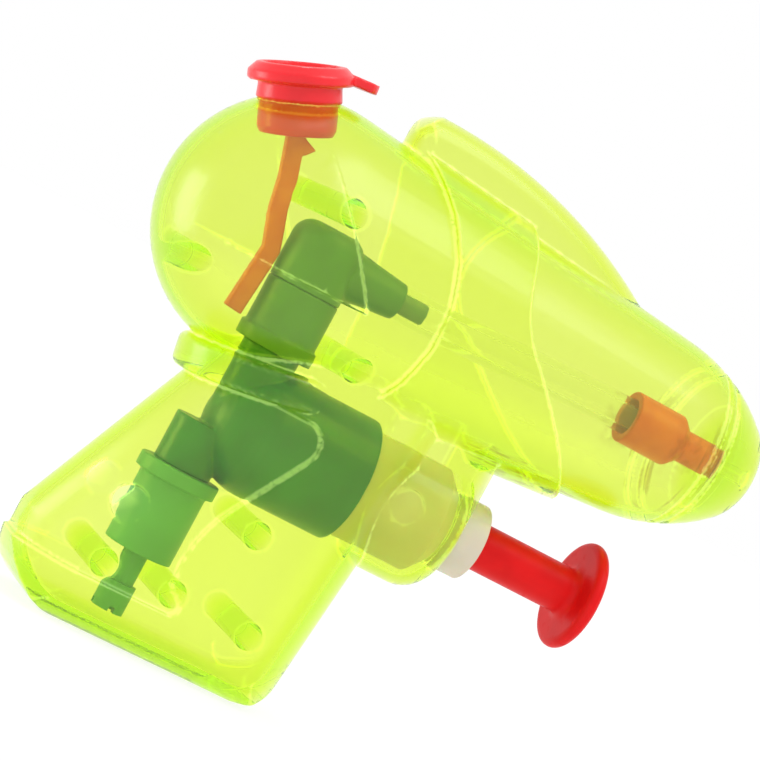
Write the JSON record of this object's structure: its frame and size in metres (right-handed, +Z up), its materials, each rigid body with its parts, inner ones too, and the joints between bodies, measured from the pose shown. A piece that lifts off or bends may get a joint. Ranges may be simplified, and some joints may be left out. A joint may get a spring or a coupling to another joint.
{
  "type": "water squirter",
  "caption": "Small see-through toy water pistol: round tank and blunt barrel on a raked grip, push-plunger pump with ball valves, hose to a jet nozzle, and a red stopper in the fill hole.",
  "frame": {"origin": "middle of the flat foot of the grip", "axes": "+X forward along the barrel, +Y to the left side, +Z up from the foot"},
  "size_m": [0.0912, 0.0366, 0.0797],
  "materials": {
    "neon_shell": "clear moulded, fluorescent yellow green",
    "cap_red": "soft moulded, satin",
    "plunger_red": "moulded, satin",
    "natural_plastic": "unpigmented moulded",
    "pump_green": "moulded",
    "seal_rubber": "moulded",
    "spring_steel": "drawn wire",
    "valve_ball": "polished",
    "clear_tube": "clear tube",
    "nozzle_orange": "moulded"
  },
  "bodies": {
    "shell": {"right_shell": "neon_shell", "left_shell": "neon_shell", "pump_cylinder": "natural_plastic", "pump_body": "pump_green", "inlet_housing": "pump_green", "intake_tube": "pump_green", "intake_strainer": "pump_green", "outlet_riser": "pump_green", "outlet_elbow": "pump_green", "delivery_hose": "clear_tube", "nozzle": "nozzle_orange", "return_spring": "spring_steel"},
    "trigger": {"trigger_plunger": "plunger_red", "piston_seal": "seal_rubber"},
    "stopper": {"fill_cap": "cap_red", "cap_strap": "cap_red"},
    "inlet_valve": {"inlet_ball": "valve_ball"},
    "outlet_valve": {"outlet_ball": "valve_ball"}
  },
  "joints": [
    {"name": "trigger_slide", "type": "slide", "parent": "shell", "child": "trigger", "axis": [-1, 0, 0], "range_m": [0, 0.011], "stiffness_N_per_m": 400, "springref_m": -0.006, "deforming": ["return_spring"]},
    {"name": "cap_lift", "type": "slide", "parent": "shell", "child": "stopper", "axis": [-0.4099, 0, 0.9121], "range_m": [0, 0.014]},
    {"name": "inlet_ball_lift", "type": "slide", "parent": "shell", "child": "inlet_valve", "axis": [0, 0, 1], "range_m": [0, 0.0016]},
    {"name": "outlet_ball_lift", "type": "slide", "parent": "shell", "child": "outlet_valve", "axis": [0, 0, 1], "range_m": [0, 0.0016]}
  ]
}
